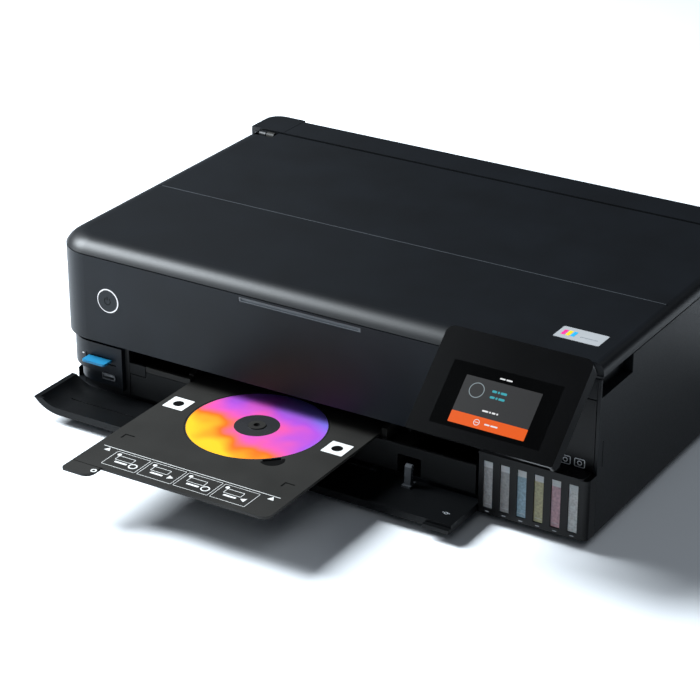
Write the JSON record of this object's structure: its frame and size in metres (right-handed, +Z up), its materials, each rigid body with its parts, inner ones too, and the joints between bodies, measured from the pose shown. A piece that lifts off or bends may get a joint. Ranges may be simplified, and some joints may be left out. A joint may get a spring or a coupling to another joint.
{
  "type": "inkjet multifunction printer",
  "caption": "Wide flat desktop printer and scanner with a lift-up lid, tilting touch panel, front ink tank windows, drop-down front cover and a disc tray that slides in.",
  "frame": {"origin": "on the surface it stands on, under the middle of its outline with the front cover open and the disc tray out", "axes": "+X to the machine's right seen from the front, +Y to the back, +Z up"},
  "size_m": [0.523, 0.532, 0.1633],
  "materials": {
    "casing_black": "satin moulded",
    "fascia_grey": "fine satin",
    "trim_grey": "polished",
    "light_ring": "diffusing",
    "button_black": "satin",
    "foot_rubber": "matte",
    "plated_steel": "zinc plated",
    "card_blue": "moulded",
    "tray_grey": "fine texture",
    "disc_print": "printed lacquer",
    "tank_clear": "translucent",
    "cap_rubber": "matte",
    "panel_black": "semi gloss",
    "screen_glass": "polished",
    "scan_glass": "clear",
    "gear_resin": "acetal",
    "brass": "machined",
    "roller_rubber": "ground",
    "head_grey": "stamped",
    "pad_box": "natural",
    "board_green": "solder mask",
    "inlet_black": "moulded",
    "mat_white": "foam sheet",
    "badge_silver": "satin foil"
  },
  "bodies": {
    "chassis": {"base_pan": "casing_black", "rubber_feet": "foot_rubber", "side_cover_left": "casing_black", "side_cover_right": "casing_black", "rear_cover": "casing_black", "front_panel": "fascia_grey", "grip_strip": "trim_grey", "power_ring": "light_ring", "card_slot_module": "fascia_grey", "usb_port": "plated_steel", "tray_guide": "tray_grey", "tank_housing": "casing_black", "ink_tanks": "tank_clear", "tank_caps": "cap_rubber", "panel_bracket": "casing_black", "chassis_frame": "plated_steel", "guide_shaft": "plated_steel", "carriage_belt": "cap_rubber", "carriage_motor": "plated_steel", "feed_motor": "plated_steel", "pinch_rollers": "roller_rubber", "platen": "tray_grey", "capping_station": "tray_grey", "maintenance_box": "pad_box", "mainboard": "board_green", "power_supply": "plated_steel", "ac_inlet": "inlet_black", "feed_chute": "tray_grey", "lid_hinge_pins": "plated_steel", "case_screws": "plated_steel"},
    "front_cover": {"front_cover": "casing_black", "cover_hook": "trim_grey"},
    "disc_tray": {"disc_tray": "tray_grey", "disc": "disc_print"},
    "memory_card": {"memory_card": "card_blue"},
    "cassette": {"paper_cassette": "tray_grey", "output_tray": "tray_grey"},
    "edge_guide_left": {"edge_guide_left": "tray_grey"},
    "edge_guide_right": {"edge_guide_right": "tray_grey"},
    "control_panel": {"control_panel": "panel_black", "touch_screen": "screen_glass"},
    "tank_cover": {"tank_cover": "casing_black"},
    "power_button": {"power_button": "button_black"},
    "scanner_unit": {"scanner_unit": "tray_grey", "scanner_glass": "scan_glass"},
    "scan_bar": {"scan_bar": "tray_grey"},
    "document_cover": {"document_cover": "casing_black", "document_mat": "mat_white", "badge_plate": "badge_silver"},
    "rear_feed_cover": {"rear_feed_cover": "casing_black"},
    "carriage": {"carriage": "tray_grey", "print_head": "head_grey"},
    "drive_pulley": {"drive_pulley": "brass"},
    "idler_pulley": {"idler_pulley": "brass"},
    "feed_roller": {"feed_roller": "roller_rubber"},
    "exit_roller": {"exit_roller": "roller_rubber"},
    "idler_gear": {"idler_gear": "gear_resin"},
    "motor_pinion": {"motor_pinion": "brass"}
  },
  "joints": [
    {"name": "front_cover_swing", "type": "hinge", "parent": "chassis", "child": "front_cover", "pos_m": [0, -0.0885, 0.0145], "axis": [1, 0, 0], "range_deg": [-90, 0]},
    {"name": "disc_tray_slide", "type": "slide", "parent": "chassis", "child": "disc_tray", "axis": [0, 1, 0], "range_m": [0, 0.38]},
    {"name": "memory_card_slide", "type": "slide", "parent": "chassis", "child": "memory_card", "axis": [0, 1, 0], "range_m": [0, 0.0105]},
    {"name": "cassette_slide", "type": "slide", "parent": "chassis", "child": "cassette", "axis": [0, -1, 0], "range_m": [0, 0.18]},
    {"name": "edge_guide_left_slide", "type": "slide", "parent": "cassette", "child": "edge_guide_left", "axis": [1, 0, 0], "range_m": [0, 0.05]},
    {"name": "edge_guide_right_slide", "type": "slide", "parent": "cassette", "child": "edge_guide_right", "axis": [1, 0, 0], "range_m": [-0.05, 0]},
    {"name": "control_panel_tilt", "type": "hinge", "parent": "chassis", "child": "control_panel", "pos_m": [0, -0.085, 0.15], "axis": [-1, 0, 0], "range_deg": [-48, 0]},
    {"name": "tank_cover_swing", "type": "hinge", "parent": "chassis", "child": "tank_cover", "pos_m": [0, -0.084, 0.0634], "axis": [-1, 0, 0], "range_deg": [0, 80]},
    {"name": "power_button_press", "type": "slide", "parent": "chassis", "child": "power_button", "axis": [0, 1, 0], "range_m": [0, 0.0012], "stiffness_N_per_m": 500},
    {"name": "scanner_unit_lift", "type": "hinge", "parent": "chassis", "child": "scanner_unit", "pos_m": [0, 0.216, 0.1525], "axis": [-1, 0, 0], "range_deg": [0, 35]},
    {"name": "scan_bar_slide", "type": "slide", "parent": "scanner_unit", "child": "scan_bar", "axis": [1, 0, 0], "range_m": [0, 0.285]},
    {"name": "document_cover_lift", "type": "hinge", "parent": "scanner_unit", "child": "document_cover", "pos_m": [0, 0.216, 0.1525], "axis": [-1, 0, 0], "range_deg": [0, 60]},
    {"name": "rear_feed_cover_swing", "type": "hinge", "parent": "chassis", "child": "rear_feed_cover", "pos_m": [0, 0.255, 0.1515], "axis": [-1, 0, 0], "range_deg": [0, 100]},
    {"name": "carriage_slide", "type": "slide", "parent": "chassis", "child": "carriage", "axis": [-1, 0, 0], "range_m": [0, 0.345]},
    {"name": "drive_pulley_spin", "type": "hinge", "parent": "chassis", "child": "drive_pulley", "pos_m": [0.23, 0.099, 0.094], "axis": [0, -1, 0], "range_deg": [-5, 3300]},
    {"name": "idler_pulley_spin", "type": "hinge", "parent": "chassis", "child": "idler_pulley", "pos_m": [-0.21, 0.099, 0.094], "axis": [0, -1, 0], "range_deg": [-5, 3300]},
    {"name": "feed_roller_spin", "type": "hinge", "parent": "chassis", "child": "feed_roller", "pos_m": [0, 0.111, 0.0354], "axis": [1, 0, 0], "continuous": true},
    {"name": "exit_roller_spin", "type": "hinge", "parent": "chassis", "child": "exit_roller", "pos_m": [0, 0.018, 0.0354], "axis": [1, 0, 0], "continuous": true},
    {"name": "idler_gear_spin", "type": "hinge", "parent": "chassis", "child": "idler_gear", "pos_m": [0, 0.0645, 0.06285], "axis": [1, 0, 0], "continuous": true},
    {"name": "motor_pinion_spin", "type": "hinge", "parent": "chassis", "child": "motor_pinion", "pos_m": [0, 0.12321, 0.05836], "axis": [1, 0, 0], "continuous": true}
  ],
  "couplings": [
    {"joint": "disc_tray_slide", "follows": "front_cover_swing", "m_per_rad": -0.24192},
    {"joint": "memory_card_slide", "follows": "front_cover_swing", "m_per_rad": -0.0066845},
    {"joint": "edge_guide_right_slide", "follows": "edge_guide_left_slide", "ratio": -1},
    {"joint": "drive_pulley_spin", "follows": "carriage_slide", "rad_per_m": 166.67},
    {"joint": "idler_pulley_spin", "follows": "carriage_slide", "rad_per_m": 166.67},
    {"joint": "exit_roller_spin", "follows": "feed_roller_spin", "ratio": 1},
    {"joint": "idler_gear_spin", "follows": "feed_roller_spin", "ratio": -0.5},
    {"joint": "motor_pinion_spin", "follows": "feed_roller_spin", "ratio": -2.25}
  ]
}
